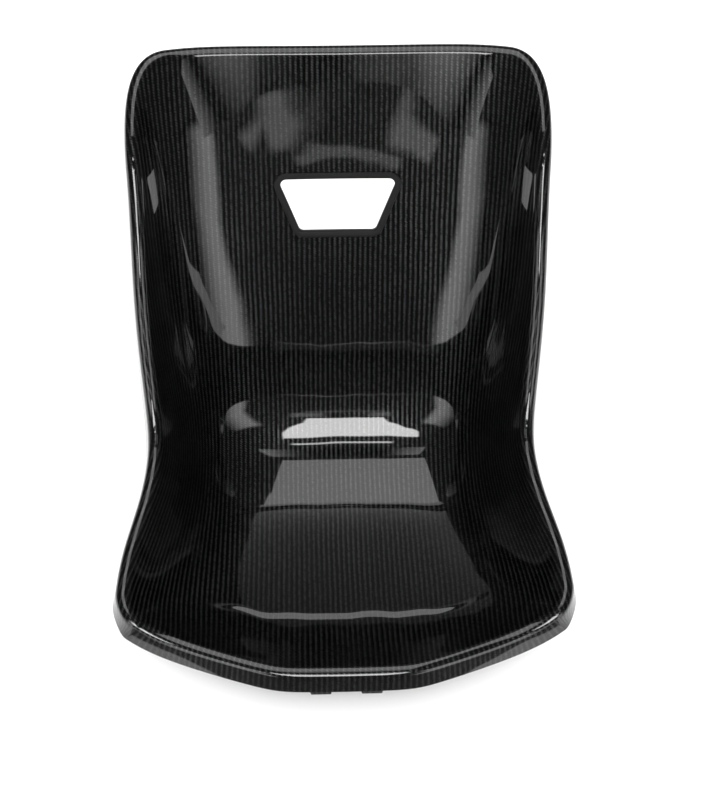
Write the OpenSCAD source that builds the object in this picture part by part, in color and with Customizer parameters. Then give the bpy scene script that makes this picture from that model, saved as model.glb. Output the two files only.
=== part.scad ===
// Low-back competition seat: one carbon laminate shell with a rolled edge all
// round, a belt slot with edge trim, two stiffening ribs and four mounting
// bosses under the pan. The seat faces -Y, up is +Z, and z = 0 is the floor
// that the bosses stand on. Left and right are the sitter's own.

/* [Part shown] */
// which part of the seat is drawn

/* [Shell] */
// wall thickness of the laminate
laminate = 3; // [2:0.5:4]
// outer radius of the rolled edge
roll_r = 8.5; // [6:0.5:12]
// straight length of the return below the roll
return_l = 20; // [12:1:32]
// how much shorter the return is along the top of the back
return_top_cut = 8; // [0:1:12]
// outward lean of the return, in degrees
return_draft = 13; // [0:1:16]
// half width of the flat middle of the front lip
lip_flat = 70; // [30:5:110]
// how sharply the front lip sweeps back outside the flat, in degrees
lip_sweep = 18.4; // [0:0.1:35]

/* [Belt slot] */
// width of the slot along its upper edge
slot_top_w = 137; // [90:1:150]
// width of the slot along its lower edge
slot_low_w = 86; // [50:1:120]
// height of the slot along the back
slot_h = 65; // [40:1:80]
// corner radius of the slot
slot_r = 8.5; // [4:0.5:14]
// place of the slot along the shell, from the front lip (0) to the top (1)
slot_at = 0.8; // [0.7:0.005:0.92]

/* [Slot trim] */
// thickness of the rubber over each face of the laminate
trim_wall = 1.8; // [1:0.1:3]
// reach of the trim over the face
trim_reach = 4.8; // [4:0.1:10]
// thickness of the sprung steel carrier in the trim
carrier_t = 0.5; // [0.3:0.1:0.8]

/* [Ribs] */
// distance between the middles of the two ribs
rib_pitch = 54; // [45:1:90]
// width of a rib at the floor
rib_low_w = 21; // [14:1:30]
// width of a rib where it meets its flanges
rib_top_w = 30; // [20:1:40]
// width over the bonding flanges of a rib
rib_flange_w = 50; // [40:1:52]
// wall thickness of a rib
rib_wall = 2; // [1.5:0.5:3]
// front end of the ribs
rib_front_y = -189; // [-190:1:-140]
// height of the ribs' underside over the floor at their front end
rib_nose = 19; // [10:1:34]
// where the underside of the ribs comes down to the floor
rib_level_y = 10; // [-60:5:60]
// rear end of the ribs
rib_rear_y = 92; // [60:1:100]

/* [Mounting] */
// bolt spacing across the seat
bolt_dx = 230; // [200:5:250]
// bolt spacing along the seat
bolt_dy = 180; // [150:5:190]
// radius of a boss on the floor
boss_low_r = 17; // [15:1:22]
// radius of a boss where it is bonded to the shell
boss_top_r = 28; // [20:1:32]
// bore radius of the threaded insert
insert_bore_r = 3.4; // [3.3:0.1:4.2]
// body radius of the threaded insert
insert_body_r = 6.5; // [5.5:0.5:8]
// flange radius of the threaded insert
insert_flange_r = 11; // [9:0.5:13]
// length of the threaded insert
insert_l = 20; // [14:1:24]

/* [Hidden] */
carbon_c = [0.09, 0.09, 0.10];
rubber_c = [0.03, 0.03, 0.03];
foam_c = [0.80, 0.72, 0.50];
steel_c = [0.62, 0.63, 0.65];

// Stations along the middle of the shell, from the front lip, over the pan, the
// hip pocket and the small of the back, up to the top edge. Each row holds
// [y, z, half width at the rim, rim depth, lean of the section in degrees,
//  fullness of the floor, flare of the side wall].
STATIONS = [
    [-188, 72, 227, 34, 2, 0.80, 30],
    [-152, 54, 227, 55, 4, 0.80, 36],
    [-80, 36, 219, 90, 7, 0.80, 40],
    [7, 23, 201, 120, 12, 0.80, 44],
    [92, 20, 193, 148, 23, 0.76, 42],
    [152, 66, 196, 150, 35, 0.70, 38],
    [178, 154, 200, 124, 45, 0.62, 34],
    [202, 246, 203, 101, 54, 0.58, 32],
    [232, 337, 202, 86, 64, 0.58, 30],
    [266, 425, 204, 68, 69, 0.58, 28],
    [292, 493, 217, 44, 71, 0.58, 26]];
// rounding of the outline's corners, as shares of half width and of length
TOP_U = 0.34;
TOP_T = 0.134;
LIP_U = 0.15;
LIP_T = 0.075;
// dip of the top edge between its corners, as a share of the length
TOP_DIP = 0.004;
// grid of the shell: cells across, cells along, steps round the roll
M = 40;
N = 50;
K = 4;
// the lip's sweep fades out along this share of the length
SWEEP_FADE = 0.34;
SWEEP_SOFT = 16;
FLOOR_RISE = 0.16;
BOND = 0.2;

function clamp(x) = min(max(x, 0), 1);
function smooth(x) = let (c = clamp(x)) c * c * (3 - 2 * c);
function unit(v) = v / norm(v);
function ortho(v, n) = unit(v - (v * n) * n);

// smooth curve through the neighbourhood of the stations
function along(t) = let (
    n = len(STATIONS) - 1,
    s = clamp(t) * n,
    i = min(floor(s), n - 1),
    f = s - i,
    a = i > 0 ? STATIONS[i - 1] : 2 * STATIONS[0] - STATIONS[1],
    d = i + 2 <= n ? STATIONS[i + 2] : 2 * STATIONS[n] - STATIONS[n - 1])
    (pow(1 - f, 3) * a + (3 * pow(f, 3) - 6 * f * f + 4) * STATIONS[i]
    + (-3 * pow(f, 3) + 3 * f * f + 3 * f + 1) * STATIONS[i + 1]
    + pow(f, 3) * d) / 6;

// setback of the lip at half width a
function hyper(a) = 0.5 * (a - lip_flat + norm([a - lip_flat, SWEEP_SOFT]));
function setback(a) = tan(lip_sweep) * (hyper(abs(a)) - hyper(0));

// sideways place and rim rise of a section at share v of its half width
function across(s, v) = 3 * v * pow(1 - v, 2) * s[5] * s[2]
    + 3 * v * v * (1 - v) * (s[2] - s[6]) + pow(v, 3) * s[2];
function rise(s, v) = 3 * v * v * (1 - v) * FLOOR_RISE * s[3] + pow(v, 3) * s[3];

// point of the seating face: u runs from -1 to 1 across, t from 0 to 1 along
function face(u, t) = let (
    s = along(t),
    v = abs(u),
    a = across(s, v),
    b = rise(s, v),
    fade = smooth(1 - t / SWEEP_FADE))
    [sign(u) * a, s[0] - b * sin(s[4]) + fade * setback(a), s[1] + b * cos(s[4])];

function face_n(u, t) = let (
    e = 0.001,
    hi = min(t + e, 1),
    lo = max(t - e, 0))
    unit(cross(face(u + e, t) - face(u - e, t), face(u, hi) - face(u, lo)));

function under(u, t, gap) = face(u, t) - (laminate + gap) * face_n(u, t);

// rounded outline: arcs are split at 45 degrees between the ends and the sides
function side_ut(q, k = 0.16) = let (
    f = 45 * clamp(1 - q / k),
    g = 45 * clamp((q - 1 + k) / k),
    mid = clamp((q - k) / (1 - 2 * k)))
    q < k ? [1 - LIP_U * (1 - cos(f)), LIP_T * (1 - sin(f))]
    : q > 1 - k ? [1 - TOP_U * (1 - cos(g)), 1 - TOP_T * (1 - sin(g))]
    : [1, LIP_T + (1 - TOP_T - LIP_T) * mid];

function end_ut(p, top, k = 0.2) = let (
    cu = top ? TOP_U : LIP_U,
    ct = top ? TOP_T : LIP_T,
    f = 45 * clamp((abs(p) - 1 + k) / k),
    u = abs(p) < 1 - k ? (1 - cu) * abs(p) / (1 - k) : 1 - cu + cu * sin(f),
    d = ct * (1 - cos(f)),
    dip = TOP_DIP * pow(cos(90 * min(u / (1 - cu), 1)), 2))
    [sign(p) * u, top ? 1 - d - dip : d];

// blend of the four edges, so that the grid fills the rounded outline
function domain(p, q) = let (
    w = (p + 1) / 2,
    r = side_ut(q),
    lo = end_ut(p, false),
    hi = end_ut(p, true),
    c0 = side_ut(0),
    c1 = side_ut(1),
    x = 2 * w - 1,
    edge = (1 - q) * c0[0] + q * c1[0])
    [x * r[0] + (1 - q) * lo[0] + q * hi[0] - x * edge,
    r[1] + (1 - q) * lo[1] + q * hi[1] - (1 - q) * c0[1] - q * c1[1]];

// places round the outline, anticlockwise seen from the seating side
S = 2 * (M + N);
function ring_ij(s) = s < M ? [s, 0]
    : s < M + N ? [M, s - M]
    : s < 2 * M + N ? [2 * M + N - s, N]
    : [0, S - s];
function ij_ut(i, j) = domain(2 * i / M - 1, j / N);

// everything needed at one place of the edge: base, normal, outward, turn, t
function rim_frame(s, P) = let (
    ij = ring_ij(s),
    ut = ij_ut(ij[0], ij[1]),
    base = P[s],
    tang = unit(P[(s + 1) % S] - P[(s + S - 1) % S]),
    nrm = ortho(face_n(ut[0], ut[1]), tang),
    out = cross(tang, nrm),
    lean = along(ut[1])[4],
    d = [0, -sin(lean), cos(lean)],
    w0 = out - nrm,
    w = ortho(w0 - (w0 * d) * d, tang),
    hang = lean * (1 - 0.5 * smooth((ut[1] - 0.55) / 0.45)),
    h = ortho([0, sin(hang), -cos(hang)], tang),
    dir0 = h * cos(return_draft) + w * sin(return_draft),
    dir = ortho(dir0, tang),
    turn0 = atan2(-(dir * nrm), dir * out),
    turn = turn0 < 0 ? turn0 + 360 : turn0)
    [base, nrm, out, turn, ut[1]];

function rolled(F, a, r) = F[0] - roll_r * F[1] + r * (cos(a) * F[1] + sin(a) * F[2]);
function hanging(F, r) = rolled(F, F[3], r)
    + (return_l - return_top_cut * smooth((F[4] - 0.7) / 0.3))
    * (cos(F[3]) * F[2] - sin(F[3]) * F[1]);

// one wall patch between two rows of point numbers
function quad(a, b, c, d) = [[a, b, c], [a, c, d]];

module shell_solid() {
    UT = [for (i = [0:M], j = [0:N]) ij_ut(i, j)];
    inner = [for (w = UT) face(w[0], w[1])];
    outer = [for (w = UT) under(w[0], w[1], 0)];
    G = len(UT);
    P = [for (s = [0:S - 1]) let (w = ring_ij(s)) inner[w[0] * (N + 1) + w[1]]];
    F = [for (s = [0:S - 1]) rim_frame(s, P)];
    roll_in = [for (k = [1:K], s = [0:S - 1]) rolled(F[s], F[s][3] * k / K, roll_r)];
    hang_in = [for (s = [0:S - 1]) hanging(F[s], roll_r)];
    roll_out = [for (k = [1:K], s = [0:S - 1])
        rolled(F[s], F[s][3] * k / K, roll_r - laminate)];
    hang_out = [for (s = [0:S - 1]) hanging(F[s], roll_r - laminate)];
    A = 2 * G;
    B = 2 * G + (K + 1) * S;
    function grid(i, j) = i * (N + 1) + j;
    function edge(s) = let (w = ring_ij(s % S)) grid(w[0], w[1]);
    function ra(k, s) = k == 0 ? edge(s) : A + (k - 1) * S + s % S;
    function rb(k, s) = k == 0 ? G + edge(s) : B + (k - 1) * S + s % S;
    cells = [for (i = [0:M - 1], j = [0:N - 1], f = concat(
        quad(grid(i, j), grid(i, j + 1), grid(i + 1, j + 1), grid(i + 1, j)),
        quad(G + grid(i, j), G + grid(i + 1, j), G + grid(i + 1, j + 1),
            G + grid(i, j + 1)))) f];
    rolls = [for (k = [0:K], s = [0:S - 1], f = concat(
        quad(ra(k, s), ra(k, s + 1), ra(k + 1, s + 1), ra(k + 1, s)),
        quad(rb(k, s), rb(k + 1, s), rb(k + 1, s + 1), rb(k, s + 1)))) f];
    ends = [for (s = [0:S - 1], f =
        quad(ra(K + 1, s), ra(K + 1, s + 1), rb(K + 1, s + 1), rb(K + 1, s))) f];
    polyhedron(points = concat(inner, outer, roll_in, hang_in, roll_out, hang_out),
        faces = concat(cells, rolls, ends), convexity = 8);
}

// ---- belt slot -----------------------------------------------------------
SLOT_C = face(0, slot_at);
SLOT_N = face_n(0, slot_at);
SLOT_UP = cross(SLOT_N, [1, 0, 0]);
SLOT_LEAN = atan2(SLOT_UP[2], SLOT_UP[1]);
SLOT_STEP = norm(face(0, slot_at + 0.01) - face(0, slot_at - 0.01)) / 0.02;

// corner middles of the slot, inset by its corner radius
function slot_mid(k) = let (
    top = k < 2,
    side = (k == 0 || k == 3) ? 1 : -1,
    hw = (top ? slot_top_w : slot_low_w) / 2,
    tilt = atan2((slot_top_w - slot_low_w) / 2, slot_h),
    in = slot_r * (top ? tan((90 + tilt) / 2) : tan((90 - tilt) / 2)))
    [side * (hw - in), (top ? 1 : -1) * (slot_h / 2 - slot_r)];
SLOT_TILT = atan2((slot_top_w - slot_low_w) / 2, slot_h);
CORNER = 5;
SIDE = 5;
// outline of the slot grown by g: corner arcs joined by subdivided sides
function slot_corner(k, g) = let (
    c = slot_mid(k),
    a0 = [-SLOT_TILT, 90, 180 + SLOT_TILT, 270][k],
    a1 = [90, 180 + SLOT_TILT, 270, 360 - SLOT_TILT][k])
    [for (n = [0:CORNER]) let (a = a0 + (a1 - a0) * n / CORNER)
        c + (slot_r + g) * [cos(a), sin(a)]];
function slot_ring(g) = [for (k = [0:3]) let (
    here = slot_corner(k, g),
    next = slot_corner((k + 1) % 4, g))
    for (n = [0:CORNER + SIDE - 1])
        n <= CORNER ? here[n]
        : here[CORNER] + (next[0] - here[CORNER]) * (n - CORNER) / SIDE];

module slot_cutter() {
    translate(SLOT_C)
        rotate([SLOT_LEAN, 0, 0])
            translate([0, 0, -30])
                linear_extrude(height = 60)
                    polygon(slot_ring(0));
}

// share v of the half width where the section at t reaches x
function v_of(x, t, lo = 0, hi = 1, n = 22) = let (
    mid = (lo + hi) / 2)
    n == 0 ? mid
    : across(along(t), mid) < x ? v_of(x, t, mid, hi, n - 1)
    : v_of(x, t, lo, mid, n - 1);
function u_of(x, t) = x < 0 ? -v_of(-x, t) : v_of(x, t);
// share t of the length where the line x reaches y
function t_of(x, y, lo = 0, hi = 0.5, n = 20) = let (
    mid = (lo + hi) / 2)
    n == 0 ? mid
    : face(u_of(x, mid), mid)[1] < y ? t_of(x, y, mid, hi, n - 1)
    : t_of(x, y, lo, mid, n - 1);

// closed sweep of a profile round the slot; profile points are [out, lift]
module slot_sweep(profile) {
    ring = slot_ring(0);
    R = len(ring);
    L = len(profile);
    grown = slot_ring(1);
    frames = [for (s = [0:R - 1]) let (
        t = slot_at + ring[s][1] / SLOT_STEP,
        u = u_of(ring[s][0], t),
        nrm = face_n(u, t),
        go = unit(grown[s] - ring[s]),
        out = ortho(go[0] * [1, 0, 0] + go[1] * SLOT_UP, nrm))
        [face(u, t), out, nrm]];
    points = [for (f = frames, w = profile) f[0] + w[0] * f[1] + w[1] * f[2]];
    faces = [for (s = [0:R - 1], k = [0:L - 1], f = quad(
        s * L + k, s * L + (k + 1) % L, ((s + 1) % R) * L + (k + 1) % L,
        ((s + 1) % R) * L + k)) f];
    polyhedron(points = points, faces = faces, convexity = 6);
}

// ---- ribs ----------------------------------------------------------------
RIB_STEPS = 16;
function below(x, t, gap) = under(u_of(x, t), t, gap);
function drop(p, d) = [p[0], p[1], p[2] - d];
// height of a rib's underside at y
function rib_z(y) = rib_nose
    * pow(clamp((rib_level_y - y) / (rib_level_y - rib_front_y)), 1.5);
// points of the shell's underside over one crossways line of a rib
function rib_line(x, y, offsets, gap) = let (
    mid = below(x, t_of(x, y), gap))
    [for (d = offsets) let (p = below(x + d, t_of(x + d, y), gap))
        [p[0], mid[1], p[2]]];
function rib_foot(x, line, up) = [x, line[0][1], rib_z(line[0][1]) + up];
function rib_y(n, trim) = rib_front_y + trim
    + (rib_rear_y - rib_front_y - 2 * trim) * n / RIB_STEPS;

module loft(rows) {
    L = len(rows[0]);
    R = len(rows) - 1;
    points = [for (r = rows, p = r) p];
    walls = [for (n = [0:R - 1], k = [0:L - 1], f = quad(
        n * L + k, (n + 1) * L + k, (n + 1) * L + (k + 1) % L,
        n * L + (k + 1) % L)) f];
    first = [[for (k = [0:L - 1]) k]];
    last = [[for (k = [L - 1:-1:0]) R * L + k]];
    polyhedron(points = points, faces = concat(walls, first, last), convexity = 6);
}

// the rows run front to rear, each anticlockwise seen from the rear
module rib_skin(x) {
    fw = rib_flange_w / 2;
    tw = rib_top_w / 2;
    lw = rib_low_w / 2;
    loft([for (n = [0:RIB_STEPS]) let (
        q = rib_line(x, rib_y(n, 0), [-fw, -tw, 0, tw, fw], BOND))
        [q[0], q[1], q[2], q[3], q[4], drop(q[4], rib_wall), drop(q[3], rib_wall),
            rib_foot(x + lw, q, 0), rib_foot(x - lw, q, 0),
            drop(q[1], rib_wall), drop(q[0], rib_wall)]]);
}

// room inside a rib, raised by lift so that it opens the rib's upper side
module rib_hollow(x, inset, lift, gap) {
    tw = rib_top_w / 2 - inset;
    lw = rib_low_w / 2 - inset;
    loft([for (n = [0:RIB_STEPS]) let (
        q = rib_line(x, rib_y(n, inset), [-tw, 0, tw], gap))
        [drop(q[0], -lift), drop(q[1], -lift), drop(q[2], -lift),
            rib_foot(x + lw, q, inset), rib_foot(x - lw, q, inset)]]);
}

module rib(x) {
    difference() {
        rib_skin(x);
        rib_hollow(x, rib_wall, 4, BOND);
    }
}

module rib_core(x) {
    rib_hollow(x, rib_wall + 0.1, 0, 2 * BOND);
}

// ---- mounting ------------------------------------------------------------
PATCH = 8;
// the room above the underside of the shell round one boss
module over_boss(x, y) {
    reach = boss_top_r + 8;
    t0 = t_of(x, y - reach);
    t1 = t_of(x, y + reach, 0, 0.6);
    rows = [for (n = [0:PATCH]) let (t = t0 + (t1 - t0) * n / PATCH)
        let (low = [for (k = [0:PATCH]) below(x + reach * (2 * k / PATCH - 1), t, BOND)])
            concat(low, [drop(low[PATCH], -90), drop(low[0], -90)])];
    loft([for (r = rows) [for (k = [len(r) - 1:-1:0]) r[k]]]);
}

module insert_envelope(gap) {
    translate([0, 0, -1])
        cylinder(r = insert_flange_r + gap, h = 3 + gap, $fn = 64);
    cylinder(r = insert_body_r + gap, h = insert_l + gap, $fn = 64);
}

module boss(x, y) {
    difference() {
        translate([x, y, 0])
            cylinder(r1 = boss_low_r, r2 = boss_top_r, h = 75, $fn = 64);
        over_boss(x, y);
        translate([x, y, 0])
            insert_envelope(0.05);
    }
}

module insert(x, y) {
    translate([x, y, 0])
        rotate_extrude($fn = 64)
            polygon([[insert_bore_r, 0], [insert_flange_r, 0], [insert_flange_r, 2],
                [insert_body_r, 2], [insert_body_r, insert_l], [0, insert_l],
                [0, insert_l - 2], [insert_bore_r, insert_l - 2]]);
}

// ---- parts ---------------------------------------------------------------
module seat_shell() {
    color(carbon_c)
        difference() {
            shell_solid();
            slot_cutter();
        }
}

module slot_trim() {
    in = -2.4;
    top = 0.1 + carrier_t + trim_wall;
    low = -laminate - top;
    gap_top = 0.1 + carrier_t;
    gap_low = -laminate - gap_top;
    web = -0.3 - carrier_t;
    color(rubber_c)
        slot_sweep([[in, low + 1.6], [in + 0.5, low + 0.5], [in + 1.6, low],
            [trim_reach - 1.4, low], [trim_reach - 0.4, low + 0.5],
            [trim_reach, gap_low], [web, gap_low], [web, gap_top],
            [trim_reach, gap_top], [trim_reach - 0.4, top - 0.5],
            [trim_reach - 1.4, top], [in + 1.6, top], [in + 0.5, top - 0.5],
            [in, top - 1.6]]);
}

module slot_trim_carrier() {
    reach = trim_reach - 1.5;
    a = 0.06;
    b = a + carrier_t - 0.02;
    lo = -laminate;
    web = -0.26;
    color(steel_c)
        slot_sweep([[web - carrier_t + 0.02, lo - b], [reach, lo - b], [reach, lo - a],
            [web, lo - a], [web, a], [reach, a], [reach, b],
            [web - carrier_t + 0.02, b]]);
}

module rib_left() { color(carbon_c) rib(rib_pitch / 2); }
module rib_right() { color(carbon_c) rib(-rib_pitch / 2); }
module rib_core_left() { color(foam_c) rib_core(rib_pitch / 2); }
module rib_core_right() { color(foam_c) rib_core(-rib_pitch / 2); }
module boss_front_left() { color(carbon_c) boss(bolt_dx / 2, -bolt_dy / 2); }
module boss_front_right() { color(carbon_c) boss(-bolt_dx / 2, -bolt_dy / 2); }
module boss_rear_left() { color(carbon_c) boss(bolt_dx / 2, bolt_dy / 2); }
module boss_rear_right() { color(carbon_c) boss(-bolt_dx / 2, bolt_dy / 2); }
module insert_front_left() { color(steel_c) insert(bolt_dx / 2, -bolt_dy / 2); }
module insert_front_right() { color(steel_c) insert(-bolt_dx / 2, -bolt_dy / 2); }
module insert_rear_left() { color(steel_c) insert(bolt_dx / 2, bolt_dy / 2); }
module insert_rear_right() { color(steel_c) insert(-bolt_dx / 2, bolt_dy / 2); }

seat_shell();
slot_trim();
slot_trim_carrier();
rib_left();
rib_right();
rib_core_left();
rib_core_right();
boss_front_left();
boss_front_right();
boss_rear_left();
boss_rear_right();
insert_front_left();
insert_front_right();
insert_rear_left();
insert_rear_right();
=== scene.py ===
"""Looks of the competition seat: carbon shell with rolled edge, belt slot trim, ribs and mounting bosses."""

import math

import bpy
import numpy as np
from mathutils import Matrix, Vector


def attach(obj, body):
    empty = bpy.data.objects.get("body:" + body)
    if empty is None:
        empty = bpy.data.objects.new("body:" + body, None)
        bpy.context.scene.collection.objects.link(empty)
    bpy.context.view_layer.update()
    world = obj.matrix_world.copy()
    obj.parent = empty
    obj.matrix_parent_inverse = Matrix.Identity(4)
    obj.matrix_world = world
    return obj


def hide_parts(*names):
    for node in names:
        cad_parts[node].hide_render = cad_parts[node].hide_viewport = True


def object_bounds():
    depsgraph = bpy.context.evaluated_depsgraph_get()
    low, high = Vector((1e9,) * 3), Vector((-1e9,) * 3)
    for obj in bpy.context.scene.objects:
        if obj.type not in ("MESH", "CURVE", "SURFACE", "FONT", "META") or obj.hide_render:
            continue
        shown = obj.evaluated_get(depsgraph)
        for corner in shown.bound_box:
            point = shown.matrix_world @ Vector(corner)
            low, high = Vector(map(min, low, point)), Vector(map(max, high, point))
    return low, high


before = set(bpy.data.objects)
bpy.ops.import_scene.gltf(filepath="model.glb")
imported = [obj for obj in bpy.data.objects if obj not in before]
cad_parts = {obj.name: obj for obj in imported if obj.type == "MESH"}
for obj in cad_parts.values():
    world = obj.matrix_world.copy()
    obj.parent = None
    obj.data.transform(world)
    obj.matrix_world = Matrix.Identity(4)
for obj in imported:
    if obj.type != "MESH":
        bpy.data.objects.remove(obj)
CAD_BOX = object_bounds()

MM = 0.001

# ---------------------------------------------------------------- the shell's surface, in millimetres
# Middle line of the shell from the front lip to the top edge, as in the CAD part:
# y, z, half width at the rim, rim depth, lean in degrees, fullness, flare.
# The half widths, the rim depths and some end values are rounded results of a fit to the outline.
STATIONS = np.array([
    [-188, 72, 227, 34, 2, 0.80, 30],
    [-152, 54, 227, 55, 4, 0.80, 36],
    [-80, 36, 219, 90, 7, 0.80, 40],
    [7, 23, 201, 120, 12, 0.80, 44],
    [92, 20, 193, 148, 23, 0.76, 42],
    [152, 66, 196, 150, 35, 0.70, 38],
    [178, 154, 200, 124, 45, 0.62, 34],
    [202, 246, 203, 101, 54, 0.58, 32],
    [232, 337, 202, 86, 64, 0.58, 30],
    [266, 425, 204, 68, 69, 0.58, 28],
    [292, 493, 217, 44, 71, 0.58, 26]], float)
LEAN = 4  # the column of STATIONS that holds the lean
LAMINATE = 3.0
ROLL_R = 8.5
RETURN_L = 20.0
RETURN_TOP_CUT = 8.0  # the return is this much shorter at the top
RETURN_DRAFT = 13.0  # degrees
LIP_FLAT = 70.0  # half of the lip's straight middle
LIP_SWEEP = 18.4  # degrees
SWEEP_FADE = 0.34  # share of the length over which the sweep fades out
SWEEP_SOFT = 16.0
FLOOR_RISE = 0.16
# how far the outline's corners are cut, as shares of half width and of length
TOP_U, TOP_T, TOP_DIP = 0.34, 0.134, 0.004
LIP_U, LIP_T = 0.15, 0.075
# shares of a side and of half an end that turn into a corner
CORNER_ALONG, CORNER_ACROSS = 0.16, 0.2
SLOT_TOP_W, SLOT_LOW_W, SLOT_H, SLOT_R, SLOT_AT = 137.0, 86.0, 65.0, 8.5, 0.8


def smooth01(x):
    c = np.clip(x, 0, 1)
    return c * c * (3 - 2 * c)


def unit(v):
    return v / np.linalg.norm(v, axis=-1, keepdims=True)


def dot(a, b):
    return (a * b).sum(-1, keepdims=True)


def ortho(v, n):
    """Unit vector of the part of v that is square to the unit vector n."""
    return unit(v - dot(v, n) * n)


def along(t):
    """Row of the station values at t, on a uniform cubic B-spline through phantom end rows."""
    rows = np.vstack([2 * STATIONS[0] - STATIONS[1], STATIONS, 2 * STATIONS[-1] - STATIONS[-2]])
    n = len(STATIONS) - 1
    s = np.clip(np.asarray(t, float), 0, 1) * n
    i = np.minimum(s.astype(int), n - 1)
    f = (s - i)[..., None]
    return ((1 - f) ** 3 * rows[i] + (3 * f ** 3 - 6 * f ** 2 + 4) * rows[i + 1]
            + (-3 * f ** 3 + 3 * f ** 2 + 3 * f + 1) * rows[i + 2] + f ** 3 * rows[i + 3]) / 6


def setback(a):
    """How far the lip is swept back at a distance a from the middle."""
    def hyper(x):
        return 0.5 * (x - LIP_FLAT + np.hypot(x - LIP_FLAT, SWEEP_SOFT))
    return math.tan(math.radians(LIP_SWEEP)) * (hyper(np.abs(a)) - hyper(0.0))


def face(u, t):
    """Point of the seating face: u from -1 to 1 across, t from 0 at the lip to 1 at the top."""
    u, t = np.broadcast_arrays(np.asarray(u, float), np.asarray(t, float))
    y, z, w, h, lean, full, flare = np.moveaxis(along(t), -1, 0)
    v = np.abs(u)
    a = 3 * v * (1 - v) ** 2 * full * w + 3 * v * v * (1 - v) * (w - flare) + v ** 3 * w
    b = 3 * v * v * (1 - v) * FLOOR_RISE * h + v ** 3 * h
    lean = np.radians(lean)
    fade = smooth01(1 - t / SWEEP_FADE)
    return np.stack([np.sign(u) * a, y - b * np.sin(lean) + fade * setback(a), z + b * np.cos(lean)], -1)


def face_n(u, t, e=0.001):
    """Unit normal of the seating face, from differences of e in u and t."""
    hi, lo = np.minimum(t + e, 1), np.maximum(t - e, 0)
    return unit(np.cross(face(u + e, t) - face(u - e, t), face(u, hi) - face(u, lo)))


def under(u, t):
    """Point of the shell's hidden face."""
    return face(u, t) - LAMINATE * face_n(u, t)


def side_ut(q):
    """u and t on the right side of the outline, at a share q of its length."""
    k = CORNER_ALONG
    f = np.radians(45 * np.clip(1 - q / k, 0, 1))
    g = np.radians(45 * np.clip((q - 1 + k) / k, 0, 1))
    mid = np.clip((q - k) / (1 - 2 * k), 0, 1)
    u = 1 - np.where(q < k, LIP_U * (1 - np.cos(f)), np.where(q > 1 - k, TOP_U * (1 - np.cos(g)), 0))
    t = np.where(q < k, LIP_T * (1 - np.sin(f)),
                 np.where(q > 1 - k, 1 - TOP_T * (1 - np.sin(g)), LIP_T + (1 - TOP_T - LIP_T) * mid))
    return u, t


def end_ut(p, top):
    """u and t on the lip or on the top edge, at p from -1 to 1 across."""
    k = CORNER_ACROSS
    cu, ct = (TOP_U, TOP_T) if top else (LIP_U, LIP_T)
    f = np.radians(45 * np.clip((np.abs(p) - 1 + k) / k, 0, 1))
    u = np.where(np.abs(p) < 1 - k, (1 - cu) * np.abs(p) / (1 - k), 1 - cu + cu * np.sin(f))
    d = ct * (1 - np.cos(f))
    dip = TOP_DIP * np.cos(np.pi / 2 * np.minimum(u / (1 - cu), 1)) ** 2
    return np.sign(p) * u, (1 - d - dip) if top else d


def domain(p, q):
    """u and t inside the rounded outline, from p across and q along: a patch between its four lines."""
    side_u, side_t = side_ut(q)
    lip_u, lip_t = end_ut(p, False)
    top_u, top_t = end_ut(p, True)
    low_u, low_t = side_ut(np.zeros(1))
    high_u, high_t = side_ut(np.ones(1))
    edge = (1 - q) * low_u + q * high_u
    return (p * side_u + (1 - q) * lip_u + q * top_u - p * edge,
            side_t + (1 - q) * lip_t + q * top_t - (1 - q) * low_t - q * high_t)


def weave_uv(u, t, girth_steps=33, run_steps=2001):
    """Cloth coordinates in millimetres: girth from the middle line, and length along it."""
    steps = np.linspace(0, 1, girth_steps)
    p = face(np.asarray(u)[..., None] * steps, np.asarray(t)[..., None])
    girth = np.linalg.norm(np.diff(p, axis=-2), axis=-1).sum(-1)
    tt = np.linspace(0, 1, run_steps)
    mid = face(np.zeros_like(tt), tt)
    run = np.concatenate([[0], np.cumsum(np.linalg.norm(np.diff(mid, axis=0), axis=1))])
    return np.stack([np.sign(u) * girth, np.interp(t, tt, run)], -1)


# ---------------------------------------------------------------- small helpers
SHARP = 38  # degrees between two faces whose edge is shaded sharp


def new_mesh(name, points, faces, materials, uvs=None, face_mats=None, sharp=SHARP):
    """Mesh object from points in millimetres. uvs: one per point, in millimetres of cloth."""
    mesh = bpy.data.meshes.new(name)
    mesh.from_pydata((np.asarray(points) * MM).tolist(), [], [list(map(int, f)) for f in faces])
    mesh.validate()
    if uvs is not None:
        layer = mesh.uv_layers.new(name="cloth")
        loops = np.empty(len(mesh.loops), np.int32)
        mesh.loops.foreach_get("vertex_index", loops)
        layer.uv.foreach_set("vector", (np.asarray(uvs)[loops] * MM).astype(np.float32).ravel())
    for material in materials:
        mesh.materials.append(material)
    if face_mats is not None:
        mesh.polygons.foreach_set("material_index", np.asarray(face_mats, np.int32))
    mesh.polygons.foreach_set("use_smooth", [True] * len(mesh.polygons))
    mesh.set_sharp_from_angle(angle=math.radians(sharp))
    mesh.update()
    ob = bpy.data.objects.new(name, mesh)
    bpy.context.collection.objects.link(ob)
    return ob


def apply_modifiers(ob):
    dg = bpy.context.evaluated_depsgraph_get()
    mesh = bpy.data.meshes.new_from_object(ob.evaluated_get(dg))
    ob.modifiers.clear()
    old = ob.data
    ob.data = mesh
    bpy.data.meshes.remove(old)


def put(tree, socket, value):
    """Links another node's output to the socket, or sets the socket to a plain value."""
    if hasattr(value, "is_output"):
        tree.links.new(value, socket)
    else:
        socket.default_value = value


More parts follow.
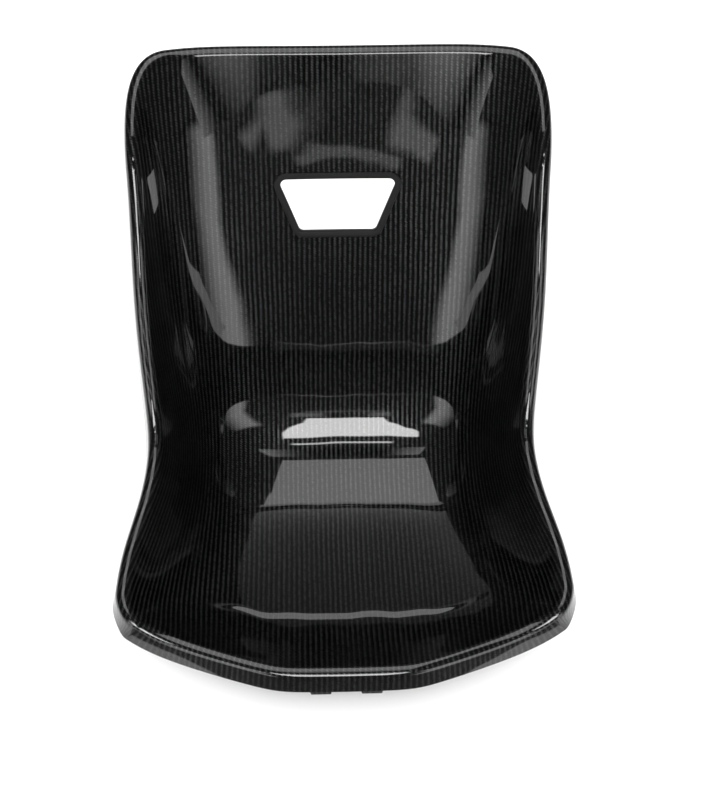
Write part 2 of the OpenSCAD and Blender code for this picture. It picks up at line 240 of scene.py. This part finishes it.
class Nodes:
    """Short way to build a material's node tree."""

    def __init__(self, name):
        self.mat = bpy.data.materials.new(name)
        self.mat.use_nodes = True
        self.nt = self.mat.node_tree
        self.nt.nodes.clear()
        self.out = self.nt.nodes.new("ShaderNodeOutputMaterial")
        self.bsdf = self.nt.nodes.new("ShaderNodeBsdfPrincipled")
        self.nt.links.new(self.bsdf.outputs[0], self.out.inputs[0])

    def add(self, kind, **props):
        node = self.nt.nodes.new(kind)
        for key, value in props.items():
            setattr(node, key, value)
        return node

    def fill(self, sockets, values):
        for socket, value in zip(sockets, values):
            if value is not None:
                put(self.nt, socket, value)

    def set(self, **values):
        """Sets inputs of the surface shader; an underscore stands for a space."""
        for key, value in values.items():
            put(self.nt, self.bsdf.inputs[key.replace("_", " ")], value)

    def math(self, op, a, b=None, clamp=False):
        node = self.add("ShaderNodeMath", operation=op, use_clamp=clamp)
        self.fill(node.inputs, (a, b))
        return node.outputs[0]

    def plus(self, base, value, gain):
        """base + value * gain."""
        return self.math("ADD", base, self.math("MULTIPLY", value, gain))

    def about(self, base, value, gain):
        """base, moved by gain times what value has over one half."""
        return self.plus(base, self.math("SUBTRACT", value, 0.5), gain)

    def mix(self, share, a, b):
        node = self.add("ShaderNodeMix", data_type="FLOAT")
        self.fill((node.inputs[0], node.inputs[2], node.inputs[3]), (share, a, b))
        return node.outputs[0]

    def mix_colour(self, share, a, b):
        node = self.add("ShaderNodeMix", data_type="RGBA")
        self.fill((node.inputs[0], node.inputs[6], node.inputs[7]), (share, a, b))
        return node.outputs[2]

    def place(self):
        """The point's place on the object, in metres."""
        return self.add("ShaderNodeTexCoord").outputs["Object"]

    def join(self, x, y=None):
        node = self.add("ShaderNodeCombineXYZ")
        self.fill(node.inputs, (x, y))
        return node.outputs[0]

    def split(self, vector):
        node = self.add("ShaderNodeSeparateXYZ")
        self.fill(node.inputs, (vector,))
        return node.outputs

    def ease(self, value, start, end):
        """0 at start, 1 at end, smooth between."""
        node = self.add("ShaderNodeMapRange", interpolation_type="SMOOTHSTEP")
        self.fill([node.inputs[key] for key in ("Value", "From Min", "From Max")], (value, start, end))
        return node.outputs[0]

    def noise(self, vector, scale, detail=2.0, rough=0.5):
        node = self.add("ShaderNodeTexNoise")
        self.fill([node.inputs[key] for key in ("Vector", "Scale", "Detail", "Roughness")],
                  (vector, scale, detail, rough))
        return node.outputs[0]

    def pick(self, a, b=None):
        """Random share for each whole number a, or for each pair."""
        node = self.add("ShaderNodeTexWhiteNoise", noise_dimensions="1D" if b is None else "2D")
        if b is None:
            self.fill((node.inputs["W"],), (a,))
        else:
            self.fill((node.inputs["Vector"],), (self.join(a, b),))
        return node.outputs["Value"]

    def bump(self, height, strength, distance):
        node = self.add("ShaderNodeBump")
        self.fill([node.inputs[key] for key in ("Strength", "Distance", "Height")],
                  (strength, distance, height))
        return node.outputs[0]


def grey(v, tint=0.0):
    return (v * (1 - tint), v, v * (1 + tint), 1.0)


# ---------------------------------------------------------------- materials
TOW = 0.002  # width of one tow of the cloth
REPEAT = 4.0  # a 2x2 twill repeats after four tows
CROWN_POWER = 2.4  # how square a tow is in section
TOW_LOW, TOW_RISE = 0.15, 0.85  # a tow's height where it dives under, and what it gains on top
WANDER_SCALE, WANDER = 9.0, 0.0030  # tows wander by half of this many metres either way
STREAK_FINE, STREAK_LONG = 9.0, 0.35  # filaments: noise across and along a tow
PICK_SHIFT = 517.0  # keeps the two families of tows from sharing their random shades
PAINTED_SHEEN_ACROSS, PAINTED_SHEEN_ALONG = 0.02, 0.80  # painted sheen: the two families of tows catch the light differently, and this is painted into their colour, one family far lighter
TOW_SPREAD, STREAK_SPREAD = 0.16, 0.35
CLOUD_SCALE = 16.0
CLOTH_DARK, CLOTH_LIGHT, CLOTH_BLUE = 0.0006, 0.043, 0.02
CLOTH_RELIEF, CLOTH_DEPTH = 0.55, 0.00022
WAVE_SCALE, WAVE_DETAIL, WAVE_ROUGH, WAVE_HEIGHT = 13.0, 1.5, 0.45, 0.0006
# a soft step in the mould, a hand's width behind the lip: where it starts and ends along the cloth,
# how far it drifts, the girths between which it fades out, and its height
STEP_START, STEP_END, STEP_DRIFT_SCALE, STEP_DRIFT = 0.078, 0.094, 14.0, 0.030
STEP_OUT, STEP_IN, STEP_HEIGHT = 0.170, 0.080, 0.0042


def twill(n, u, v):
    """2x2 twill on the bias, its ribs along v. Gives over or under, crown height, tow numbers and places."""
    k = 1 / (math.sqrt(2) * TOW)
    a = n.math("MULTIPLY", n.math("ADD", u, v), k)
    b = n.math("MULTIPLY", n.math("SUBTRACT", u, v), k)
    ia, ib = n.math("FLOOR", a), n.math("FLOOR", b)
    fa, fb = n.math("FRACT", a), n.math("FRACT", b)
    over = n.math("LESS_THAN", n.math("FLOORED_MODULO", n.math("ADD", ia, ib), REPEAT), 1.5)

    def crown(across, run, index, shift):
        c = n.math("SUBTRACT", n.math("MULTIPLY", across, 2.0), 1.0)
        c = n.math("SUBTRACT", 1.0, n.math("POWER", n.math("ABSOLUTE", c), CROWN_POWER))
        phase = n.math("FLOORED_MODULO", n.math("ADD", n.math("ADD", run, index), shift), REPEAT)
        s = n.math("SINE", n.math("MULTIPLY", phase, math.pi / 2))
        return n.math("MULTIPLY", c, n.plus(TOW_LOW, n.math("MAXIMUM", s, 0.0), TOW_RISE))

    height = n.mix(over, crown(fb, a, ib, -2.0), crown(fa, b, ia, 0.0))
    return over, height, ia, ib, a, b


def wrapped_uv(n):
    """Cloth coordinates for a piece without its own: the plane that its face is nearest to."""
    place = n.place()
    x, y, z = n.split(place)
    normal = n.add("ShaderNodeNewGeometry").outputs["True Normal"]
    ax, ay, az = (n.math("ABSOLUTE", o) for o in n.split(normal))
    side = n.math("GREATER_THAN", ax, n.math("MAXIMUM", ay, az))
    front = n.math("GREATER_THAN", ay, n.math("MAXIMUM", ax, az))
    return n.mix(side, x, z), n.mix(front, y, z), place


def lacquer(n, u, v, stepped):
    """Height of the lacquer, which lies over the cloth with the slight waviness of hand laid work."""
    lie = n.math("MULTIPLY", n.noise(n.place(), WAVE_SCALE, WAVE_DETAIL, WAVE_ROUGH), WAVE_HEIGHT)
    if not stepped:
        return lie
    where = n.about(v, n.noise(n.join(u), STEP_DRIFT_SCALE, 1.0), STEP_DRIFT)
    fade = n.ease(n.math("ABSOLUTE", u), STEP_OUT, STEP_IN)
    return n.plus(lie, n.math("MULTIPLY", n.ease(where, STEP_START, STEP_END), fade), STEP_HEIGHT)


def streaks(n, across, run):
    stretched = n.join(n.math("MULTIPLY", across, STREAK_FINE), n.math("MULTIPLY", run, STREAK_LONG))
    return n.noise(stretched, 1.0, 1.0)


def carbon(name, coat=1.0, coat_rough=0.03, base_rough=0.33, use_uv=True):
    n = Nodes(name)
    if use_uv:
        place = n.add("ShaderNodeUVMap", uv_map="cloth").outputs[0]
        u, v = n.split(place)[:2]
    else:
        u, v, place = wrapped_uv(n)
    u = n.about(u, n.noise(place, WANDER_SCALE), WANDER)
    over, height, ia, ib, a, b = twill(n, u, v)
    # filaments: fine streaks along each tow
    streak_a, streak_b = (streaks(n, across, run) for across, run in ((a, b), (b, a)))
    streak = n.mix(over, streak_b, streak_a)
    # each tow is a little lighter or darker than its neighbour, and so is each float
    tow = n.mix(over, n.pick(n.math("ADD", ib, PICK_SHIFT)), n.pick(ia))
    # painted sheen: one family of tows is coloured far lighter than the other, for the light their fibres
    # catch
    tone_and_painted_light = n.about(n.mix(over, PAINTED_SHEEN_ACROSS, PAINTED_SHEEN_ALONG), tow, TOW_SPREAD)
    tone_and_painted_light = n.about(tone_and_painted_light, streak, STREAK_SPREAD)
    # painted shade: each tow's colour darkens towards where it dives under the other family, as the light
    # would fall on its crown
    tone_and_painted_light = n.math("MULTIPLY", tone_and_painted_light, n.plus(0.12, height, 0.95))
    tone_and_painted_light = n.math("MULTIPLY", tone_and_painted_light, n.plus(0.55, n.pick(ia, ib), 0.9))
    tone_and_painted_light = n.math("MULTIPLY", tone_and_painted_light, n.plus(0.50, n.noise(place, CLOUD_SCALE, 3.0), 0.9), clamp=True)
    n.set(Base_Color=n.mix_colour(tone_and_painted_light, grey(CLOTH_DARK, CLOTH_BLUE), grey(CLOTH_LIGHT, CLOTH_BLUE)))
    n.set(Metallic=0.82, IOR=1.5, Specular_IOR_Level=0.06)
    n.set(Roughness=n.math("ADD", n.about(base_rough, streak, 0.12), n.mix(over, 0.10, 0.0)))
    n.set(Normal=n.bump(n.plus(height, streak, 0.12), CLOTH_RELIEF, CLOTH_DEPTH))
    n.set(Coat_Normal=n.bump(lacquer(n, u, v, use_uv), 1.0, 1.0))
    n.set(Coat_Weight=coat, Coat_Roughness=coat_rough, Coat_IOR=1.5)
    if use_uv:  # the filaments of a tow spread light across it, which lies an eighth turn either way
        n.set(Anisotropic=0.6, Anisotropic_Rotation=n.mix(over, 0.875, 0.125))
        n.set(Tangent=n.add("ShaderNodeTangent", direction_type="UV_MAP", uv_map="cloth").outputs[0])
    return n.mat


def rubber(name):
    n = Nodes(name)
    place = n.place()
    wide = n.noise(place, 60.0, 3.0)
    n.set(Base_Color=n.mix_colour(wide, grey(0.003), grey(0.006)))
    n.set(Roughness=n.plus(0.42, wide, 0.16), IOR=1.5, Specular_IOR_Level=0.2)
    n.set(Normal=n.bump(n.noise(place, 900.0), 0.25, 0.0002))
    return n.mat


def metal(name, base, rough):
    n = Nodes(name)
    place = n.place()
    fine = n.noise(place, 700.0, 3.0)
    n.set(Base_Color=n.mix_colour(n.noise(place, 45.0, 3.0), grey(base * 0.86), grey(base)))
    n.set(Metallic=1.0, Roughness=n.plus(rough, fine, 0.14))
    n.set(Normal=n.bump(fine, 0.2, 0.0001))
    return n.mat


def foam(name):
    n = Nodes(name)
    cell = n.add("ShaderNodeTexVoronoi")
    n.fill((cell.inputs["Vector"], cell.inputs["Scale"]), (n.place(), 1400.0))
    wall = cell.outputs["Distance"]
    n.set(Base_Color=n.mix_colour(wall, (0.42, 0.33, 0.16, 1), (0.78, 0.68, 0.45, 1)))
    n.set(Roughness=0.9, Normal=n.bump(wall, 0.6, 0.0004))
    return n.mat


SATIN_LOOK = {"coat": 0.25, "coat_rough": 0.22, "base_rough": 0.48}
GLOSS = carbon("carbon_gloss")
SATIN = carbon("carbon_satin", **SATIN_LOOK)
RUBBER = rubber("edge_rubber")
STEEL = metal("spring_steel", 0.42, 0.30)
STAINLESS = metal("stainless", 0.62, 0.20)
FOAM = foam("core_foam")
NODE_SATIN = carbon("carbon_satin_wrapped", **SATIN_LOOK, use_uv=False)

# ---------------------------------------------------------------- the shell
CELLS_ACROSS, CELLS_ALONG = 150, 230
ROLL_STEPS, RETURN_STEPS = 12, 6
CUT_EASE = 0.6  # the cut end is eased, so its corners catch a thin line of light
BOX_GAP, BOX_EASE = 0.05, 4.0  # the roll ends this far inside the CAD box, eased over this height


def around(rows):
    """Direction along a closed line of points."""
    return unit(np.roll(rows, -1, 0) - np.roll(rows, 1, 0))


def roll_frame(base, u, t):
    """At each point of the edge: normal, way out, angle that the roll turns, and length of the return."""
    tang = around(base)
    nrm = ortho(face_n(u, t), tang)
    out = np.cross(tang, nrm)
    lean = np.radians(along(t)[:, LEAN])
    zero = 0 * lean
    rise = np.stack([zero, -np.sin(lean), np.cos(lean)], -1)
    corner = out - nrm
    away = ortho(corner - dot(corner, rise) * rise, tang)
    hang = lean * (1 - 0.5 * smooth01((t - 0.55) / 0.45))
    down = ortho(np.stack([zero, np.sin(hang), -np.cos(hang)], -1), tang)
    draft = math.radians(RETURN_DRAFT)
    way = ortho(down * math.cos(draft) + away * math.sin(draft), tang)
    turn = np.arctan2(-dot(way, nrm), dot(way, out))
    turn = np.where(turn < 0, turn + 2 * np.pi, turn)
    length = (RETURN_L - RETURN_TOP_CUT * smooth01((t - 0.7) / 0.3))[:, None]
    return nrm, out, turn, length


def edge_rows(base, uv, nrm, out, turn, length):
    """Rows of the rolled edge: outside, inside and cloth, and the two lines that ease the cut end."""
    down = np.cos(turn) * out - np.sin(turn) * nrm
    side = np.cos(turn) * nrm + np.sin(turn) * out

    def rolled(angle, r):
        return base - ROLL_R * nrm + r * (np.cos(angle) * nrm + np.sin(angle) * out)

    def hanging(share, r):
        return rolled(turn, r) + share * length * down

    uv_on = around(uv)
    uv_out = np.stack([uv_on[:, 1], -uv_on[:, 0]], -1)
    outside, inside, cloth = [], [], []
    for k in range(1, ROLL_STEPS + 1):
        outside.append(rolled(turn * k / ROLL_STEPS, ROLL_R))
        inside.append(rolled(turn * k / ROLL_STEPS, ROLL_R - LAMINATE))
        cloth.append(uv + uv_out * ROLL_R * turn * k / ROLL_STEPS)
    for k in range(1, RETURN_STEPS + 1):
        outside.append(hanging(k / RETURN_STEPS, ROLL_R))
        inside.append(hanging(k / RETURN_STEPS, ROLL_R - LAMINATE))
        cloth.append(uv + uv_out * (ROLL_R * turn + length * k / RETURN_STEPS))
    cut = [outside[-1] - CUT_EASE * side, inside[-1] + CUT_EASE * side]
    outside[-1] = outside[-1] - CUT_EASE * down
    inside[-1] = inside[-1] - CUT_EASE * down
    cut_cloth = [cloth[-1] + uv_out, cloth[-1] + 2 * uv_out]
    return outside, inside, cloth, cut, cut_cloth


def shell_piece():
    last_i, last_j = CELLS_ACROSS, CELLS_ALONG
    p, q = np.meshgrid(np.linspace(-1, 1, last_i + 1), np.linspace(0, 1, last_j + 1), indexing="ij")
    u, t = domain(p, q)
    inner, outer, uv = face(u, t), under(u, t), weave_uv(u, t)
    ring = ([(i, 0) for i in range(last_i)] + [(last_i, j) for j in range(last_j)]
            + [(i, last_j) for i in range(last_i, 0, -1)] + [(0, j) for j in range(last_j, 0, -1)])
    ri, rj = np.array(ring).T
    base = inner[ri, rj]
    turned = roll_frame(base, u[ri, rj], t[ri, rj])
    outside, inside, cloth, cut, cut_cloth = edge_rows(base, uv[ri, rj], *turned)
    points = np.vstack([inner.reshape(-1, 3), outer.reshape(-1, 3)] + outside + inside + cut)
    uvs = np.vstack([uv.reshape(-1, 2)] * 2 + cloth + cloth + cut_cloth)

    # point numbers: the two faces' grids, then one row of the ring after another
    grid, width, rows = inner[..., 0].size, len(ring), len(outside)
    i, j = np.meshgrid(np.arange(last_i), np.arange(last_j), indexing="ij")
    g = (i * (last_j + 1) + j).ravel()
    top = np.stack([g, g + last_j + 1, g + last_j + 2, g + 1], -1)
    low = top[:, ::-1] + grid
    edge = ri * (last_j + 1) + rj
    row = [2 * grid + k * width + np.arange(width) for k in range(2 * rows + 2)]
    out_rows, in_rows = [edge] + row[:rows], [grid + edge] + row[rows:2 * rows]
    after = (np.arange(width) + 1) % width
    quads, mats = [top, low], [np.zeros(len(top)), np.ones(len(low))]
    for k in range(rows):
        lo, hi = out_rows[k], out_rows[k + 1]
        quads.append(np.stack([lo, hi, hi[after], lo[after]], -1))
        mats.append(np.zeros(width))
        lo, hi = in_rows[k], in_rows[k + 1]
        quads.append(np.stack([lo, lo[after], hi[after], hi], -1))
        mats.append(np.ones(width))
    cut_out, cut_in = row[-2:]
    for lo, hi in ((out_rows[-1], cut_out), (cut_out, cut_in), (cut_in, in_rows[-1])):
        quads.append(np.stack([lo, hi, hi[after], lo[after]], -1))
        mats.append(np.zeros(width))

    # ease the topmost few millimetres down so that the roll ends just inside the CAD box
    cad_top = CAD_BOX[1][2] / MM
    limit, start = cad_top - BOX_GAP, cad_top - BOX_EASE
    high = points[:, 2] > start
    points[high, 2] = start + (points[high, 2] - start) * (limit - start) / (points[:, 2].max() - start)
    return new_mesh("shell", points, np.vstack(quads), [GLOSS, SATIN], uvs, face_mats=np.concatenate(mats))


def solve(f, lo, hi, steps=26):
    """Vector bisection of a rising function's zero."""
    lo, hi = np.array(lo, float), np.array(hi, float)
    for _ in range(steps):
        mid = (lo + hi) / 2
        low = f(mid) < 0
        lo, hi = np.where(low, mid, lo), np.where(low, hi, mid)
    return (lo + hi) / 2


def u_of(x, t):
    """Share of the half width where the section at t reaches x."""
    x, t = np.broadcast_arrays(np.asarray(x, float), np.asarray(t, float))
    return np.sign(x) * solve(lambda v: face(v, t)[..., 0] - np.abs(x), 0 * x, 0 * x + 1)


# ---------------------------------------------------------------- belt slot
SLOT_C = face(0.0, SLOT_AT)
SLOT_N = face_n(np.array(0.0), np.array(SLOT_AT))
SLOT_UP = np.cross(SLOT_N, [1, 0, 0])
# millimetres along the back for a whole t, measured over 0.02 of it
SLOT_STEP = np.linalg.norm(face(0.0, SLOT_AT + 0.01) - face(0.0, SLOT_AT - 0.01)) / 0.02
SLOT_CUT = 30  # the cutter's reach on either side of the face


def slot_ring(grow, corner=10, side=12):
    """Outline of the slot, grown outwards, as points across and up the slot's plane."""
    tilt = math.atan2((SLOT_TOP_W - SLOT_LOW_W) / 2, SLOT_H)
    points = []
    arcs = []
    for k in range(4):
        top, sign = k < 2, (1 if k in (0, 3) else -1)
        half = (SLOT_TOP_W if top else SLOT_LOW_W) / 2
        inset = SLOT_R * math.tan((math.pi / 2 + (tilt if top else -tilt)) / 2)
        c = np.array([sign * (half - inset), (1 if top else -1) * (SLOT_H / 2 - SLOT_R)])
        a0 = [-tilt, math.pi / 2, math.pi + tilt, 1.5 * math.pi][k]
        a1 = [math.pi / 2, math.pi + tilt, 1.5 * math.pi, 2 * math.pi - tilt][k]
        a = np.linspace(a0, a1, corner + 1)
        arcs.append(c + (SLOT_R + grow) * np.stack([np.cos(a), np.sin(a)], -1))
    for k in range(4):
        here, there = arcs[k], arcs[(k + 1) % 4]
        points.extend(here)
        points.extend(here[-1] + (there[0] - here[-1]) * m / side for m in range(1, side))
    return np.array(points)


def cut_slot(shell):
    ring = slot_ring(0)
    n = len(ring)
    flat = SLOT_C + ring[:, :1] * np.array([1, 0, 0]) + ring[:, 1:] * SLOT_UP
    rows = [flat + lift * SLOT_N for lift in (-SLOT_CUT, SLOT_CUT)]
    faces = [[k, (k + 1) % n, n + (k + 1) % n, n + k] for k in range(n)]
    faces += [list(range(n))[::-1], list(range(n, 2 * n))]
    cutter = new_mesh("slot_cutter", np.vstack(rows), faces, [SATIN], np.zeros((2 * n, 2)))
    mod = shell.modifiers.new("slot", "BOOLEAN")
    mod.operation = "DIFFERENCE"
    mod.solver = "EXACT"
    mod.object = cutter
    apply_modifiers(shell)
    bpy.data.objects.remove(cutter)
    shell.data.set_sharp_from_angle(angle=math.radians(SHARP))


def trim_profile():
    """Section of the slot's trim, as points out from the cut edge and up from the seating face."""
    reach, inner, wall, gap = 4.8, -2.4, 1.8, 0.6  # gap: between the laminate and each lip
    bead, tip = 1.9, 1.0  # radii towards the slot and at the lips' ends
    slit, nick_in, nick_up = -0.8, 0.3, 0.15  # where the channel ends, and the nick at the lower lip
    top = gap + wall - 0.1
    low = -LAMINATE - top
    lower = -LAMINATE - gap

    def arc(cx, cy, r, a0, a1, n):
        a = np.radians(np.linspace(a0, a1, n))
        return [(cx + r * math.cos(x), cy + r * math.sin(x)) for x in a]

    return np.array(
        arc(inner + bead, low + bead, bead, 180, 270, 6)
        + arc(reach - tip, low + tip, tip, 270, 360, 5)
        + [(reach, lower + nick_up), (reach - nick_in, lower), (slit, lower)]
        + [(slit, gap), (reach - nick_in, gap), (reach, gap)]
        + arc(reach - tip, top - tip, tip, 0, 90, 5)
        + arc(inner + bead, top - bead, bead, 90, 180, 6))


def trim_piece():
    """Rubber channel pushed over the slot's edge: a rounded bead with a lip on each face."""
    profile = trim_profile()
    ring, grown = slot_ring(0), slot_ring(1)
    t = SLOT_AT + ring[:, 1] / SLOT_STEP
    u = u_of(ring[:, 0], t)
    nrm = face_n(u, t)
    go = unit(grown - ring)
    out = ortho(go[:, :1] * np.array([1, 0, 0]) + go[:, 1:] * SLOT_UP, nrm)
    base = face(u, t)
    points = (base[:, None] + profile[None, :, :1] * out[:, None] + profile[None, :, 1:] * nrm[:, None])
    count, size = points.shape[:2]
    s, k = np.meshgrid(np.arange(count), np.arange(size), indexing="ij")
    s1, k1 = (s + 1) % count, (k + 1) % size
    quads = [s * size + k, s1 * size + k, s1 * size + k1, s * size + k1]
    faces = np.stack(quads, -1).reshape(-1, 4)[:, ::-1]
    return new_mesh("slot_edge", points.reshape(-1, 3), faces, [RUBBER], sharp=50)


shell = shell_piece()
cut_slot(shell)
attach(shell, "root")
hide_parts("seat_shell")

trim = trim_piece()
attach(trim, "root")
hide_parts("slot_trim")


def dress(node, material):
    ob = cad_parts[node]
    ob.data.materials.clear()
    ob.data.materials.append(material)


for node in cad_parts:
    if node.startswith("rib_core"):
        dress(node, FOAM)
    elif node.startswith(("rib_", "boss_")):
        dress(node, NODE_SATIN)
    elif node.startswith("insert_"):
        dress(node, STAINLESS)
    elif node == "slot_trim_carrier":
        dress(node, STEEL)

# ---------------------------------------------------------------- stage, in metres and degrees
FLOOR_Z = CAD_BOX[0][2]
FLOOR_GAP, PAPER_GAP = 0.0005, 0.0004  # the floor and the papers on it lie this far under the seat
FLOOR_HALF = 15.0
AIM = Vector((0.0, 0.060, 0.230))
CAMERA_AZIMUTH, CAMERA_ELEVATION, CAMERA_DISTANCE, CAMERA_ROLL = -2.07, 47.0, 1.6, 0.6


def heading(azimuth, elevation):
    """Direction from the seat; azimuth 0 is straight ahead of the sitter, + to the sitter's left."""
    a, e = math.radians(azimuth), math.radians(elevation)
    return (math.sin(a) * math.cos(e), -math.cos(a) * math.cos(e), math.sin(e))


def stage_mesh(name, points, faces, material, glow=None, gloss_only=True):
    """Mesh of the stage. glow: brightness at each point. gloss_only: seen in mirror images only."""
    mesh = bpy.data.meshes.new(name)
    mesh.from_pydata(points, [], faces)
    if glow is not None:
        mesh.attributes.new("glow", "FLOAT", "POINT").data.foreach_set("value", glow)
    mesh.materials.append(material)
    ob = bpy.data.objects.new(name, mesh)
    if gloss_only:
        ob.visible_camera = ob.visible_shadow = ob.visible_diffuse = False
    bpy.context.collection.objects.link(ob)
    return ob


def floor_material():
    n = Nodes("studio_floor")
    n.set(Base_Color=n.mix_colour(n.noise(n.place(), 3.0), grey(0.80), grey(0.82)), Roughness=0.9)
    n.set(Specular_IOR_Level=0.0)
    return n.mat


FLOOR = floor_material()


def floor_sheet(name, x0, x1, y0, y1, z, gloss_only=True):
    corners = [(x0, y0, z), (x1, y0, z), (x1, y1, z), (x0, y1, z)]
    return stage_mesh(name, corners, [(0, 1, 2, 3)], FLOOR, gloss_only=gloss_only)


floor = floor_sheet("floor", -FLOOR_HALF, FLOOR_HALF, -FLOOR_HALF, FLOOR_HALF, FLOOR_Z - FLOOR_GAP,
                    gloss_only=False)
floor.visible_glossy = False
# white papers, the parts of the floor that the gloss can see
floor_sheet("paper_rear", -6.0, 6.0, -0.24, 3.0, FLOOR_Z - PAPER_GAP)
floor_sheet("paper_left", 0.30, 0.90, -0.55, -0.24, FLOOR_Z - PAPER_GAP)
floor_sheet("paper_right", -0.90, -0.30, -0.55, -0.24, FLOOR_Z - PAPER_GAP)


def glow_material(name, radiance):
    """Light of this radiance times the mesh's own glow."""
    mat = bpy.data.materials.new(name)
    mat.use_nodes = True
    nt = mat.node_tree
    nt.nodes.clear()
    out = nt.nodes.new("ShaderNodeOutputMaterial")
    glow = nt.nodes.new("ShaderNodeEmission")
    level = nt.nodes.new("ShaderNodeMath")
    level.operation = "MULTIPLY"
    level.inputs[1].default_value = radiance
    share = nt.nodes.new("ShaderNodeAttribute")
    share.attribute_name = "glow"
    nt.links.new(share.outputs["Fac"], level.inputs[0])
    nt.links.new(level.outputs[0], glow.inputs["Strength"])
    nt.links.new(glow.outputs[0], out.inputs["Surface"])
    return mat


def card(name, rows, distance, radiance, soft, cells=24):
    """Glowing card for the gloss to mirror. rows: (elevation, azimuth from, azimuth to), low to high.
    soft: shares of the width at either side, and of the height, over which the light fades to nothing."""
    rows = np.array(rows, float)
    t = np.linspace(0, 1, cells + 1)
    place = np.linspace(0, len(rows) - 1, cells + 1)
    r = np.stack([np.interp(place, np.arange(len(rows)), rows[:, k]) for k in range(3)], -1)
    points, glow = [], []
    for j in range(cells + 1):
        for i in range(cells + 1):
            azimuth = r[j, 1] + (r[j, 2] - r[j, 1]) * t[i]
            points.append(AIM + Vector(heading(azimuth, r[j, 0])) * distance)
            share = 1.0
            for x, width in ((t[i], soft[0]), (1 - t[i], soft[1]), (t[j], soft[2]), (1 - t[j], soft[2])):
                share *= float(smooth01(x / width))
            glow.append(share)
    n = cells + 1
    corners = [j * n + i for j in range(cells) for i in range(cells)]
    faces = [(c, c + 1, c + n + 1, c + n) for c in corners]
    return stage_mesh(name, points, faces, glow_material(name, radiance), glow)


def panel(name, centre, normal, size, radiance):
    """Soft panel facing along normal, as bright as this many white papers. Only the gloss sees it."""
    w, h = size
    data = bpy.data.lights.new(name, "AREA")
    data.shape = "RECTANGLE"
    data.size, data.size_y = w, h
    data.energy = radiance * math.pi * w * h
    ob = bpy.data.objects.new(name, data)
    ob.location = centre
    ob.rotation_euler = (-Vector(normal)).to_track_quat("Z", "Y").to_euler()
    ob.visible_diffuse = False
    bpy.context.collection.objects.link(ob)
    return ob


def flag(name, y, x0, x1, z0, z1, radiance=0.0):
    """Upright sheet before the top of the back: black to hide the key, or glowing more towards x1."""
    corners = [(x0, y, z0), (x1, y, z0), (x1, y, z1), (x0, y, z1)]
    return stage_mesh(name, corners, [(0, 1, 2, 3)], glow_material(name, radiance), [0.0, 1.0, 1.0, 0.0])


def wash(energy, angle):
    """Broad sun from the camera's side, so the seat's shadow falls behind it. The gloss doesn't see it."""
    data = bpy.data.lights.new("wash", "SUN")
    data.energy = energy
    data.angle = math.radians(angle)
    sun = bpy.data.objects.new("wash", data)
    sun.rotation_euler = TO_CAMERA.to_track_quat("Z", "Y").to_euler()
    sun.visible_glossy = False
    bpy.context.collection.objects.link(sun)


TO_CAMERA = Vector(heading(CAMERA_AZIMUTH, CAMERA_ELEVATION))
BLOB_SOFT = (0.3, 0.3, 0.3)
SHEET_Z = 0.535  # lower edge of the flags in front of the top of the back
KEY = [(11, -5, 5), (16, -7, 6), (20, -12, 9), (26, -20, 13), (33, -22, 14)]
BAND = [(-28, 9, 54), (-13, 13, 56), (-6, 19, 58), (0, 22, 60), (6, 19, 56), (13, 16, 50), (17, 16, 42)]

wash(1.6, 50)
card("rear_soft", [(-4, 150, 212), (4, 150, 212), (14, 152, 210)], 6.0, 1.6, soft=BLOB_SOFT)
panel("overhead", (-0.22, 0.10, 2.40), (0, 0, -1), (1.45, 2.55), 2.8)
card("front_key", KEY, 30.0, 14.0, soft=(0.02, 0.02, 0.02))
flag("key_flag", -0.33, -0.16, 0.16, SHEET_Z, 0.74)
for side, name in ((1, "band_top_left"), (-1, "band_top_right")):
    flag(name, -0.325, side * 0.02, side * 0.17, SHEET_Z, 0.72, 2.4)
card("edge_line", [(38.5, -12, 12), (41.0, -12, 12)], 30.0, 10.0, soft=(0.1, 0.1, 0.2))
card("blob_left", [(4.9, 1.5, 8.5), (10.0, 1.5, 9.0)], 8.0, 1.6, soft=BLOB_SOFT)
card("blob_right", [(4.9, -7.5, -0.8), (10.0, -8.0, -0.8)], 8.0, 1.6, soft=BLOB_SOFT)
card("low_front", [(3.9, -5, 5), (5.3, -6, 6)], 8.0, 1.2, soft=(0.15, 0.15, 0.3))
for side, name in ((1, "front_left"), (-1, "front_right")):
    rows = [(elevation, side * a, side * b) for elevation, a, b in BAND]
    card(name, rows, 5.0, 3.2, soft=(0.2, 0.75, 0.14))

# the room: white for the camera, dim behind the cards for the gloss, and a fill for the rest
ROOM_SEEN, ROOM_MIRRORED, ROOM_FILL = 0.95, 0.10, 1.8
world = bpy.data.worlds.new("studio")
world.use_nodes = True
room = world.node_tree
back = room.nodes["Background"]
back.inputs["Color"].default_value = grey(1.0)
path = room.nodes.new("ShaderNodeLightPath")


def by_ray(kind, no, yes):
    node = room.nodes.new("ShaderNodeMix")
    node.data_type = "FLOAT"
    for number, value in ((0, path.outputs[kind]), (2, no), (3, yes)):
        put(room, node.inputs[number], value)
    return node.outputs[0]


level = by_ray("Is Glossy Ray", ROOM_FILL, ROOM_MIRRORED)
room.links.new(by_ray("Is Camera Ray", level, ROOM_SEEN), back.inputs["Strength"])
bpy.context.scene.world = world

cam_data = bpy.data.cameras.new("camera")
cam_data.sensor_width = 36.0
cam_data.sensor_fit = "AUTO"
cam_data.lens = 66.4
cam_data.shift_x = 0.0228
cam_data.shift_y = -0.0240
camera = bpy.data.objects.new("camera", cam_data)
camera.location = AIM + TO_CAMERA * CAMERA_DISTANCE
roll = Matrix.Rotation(math.radians(CAMERA_ROLL), 3, "Z")
camera.rotation_euler = (TO_CAMERA.to_track_quat("Z", "Y").to_matrix() @ roll).to_euler()
bpy.context.collection.objects.link(camera)
bpy.context.scene.camera = camera
bpy.context.scene.view_settings.view_transform = "Standard"
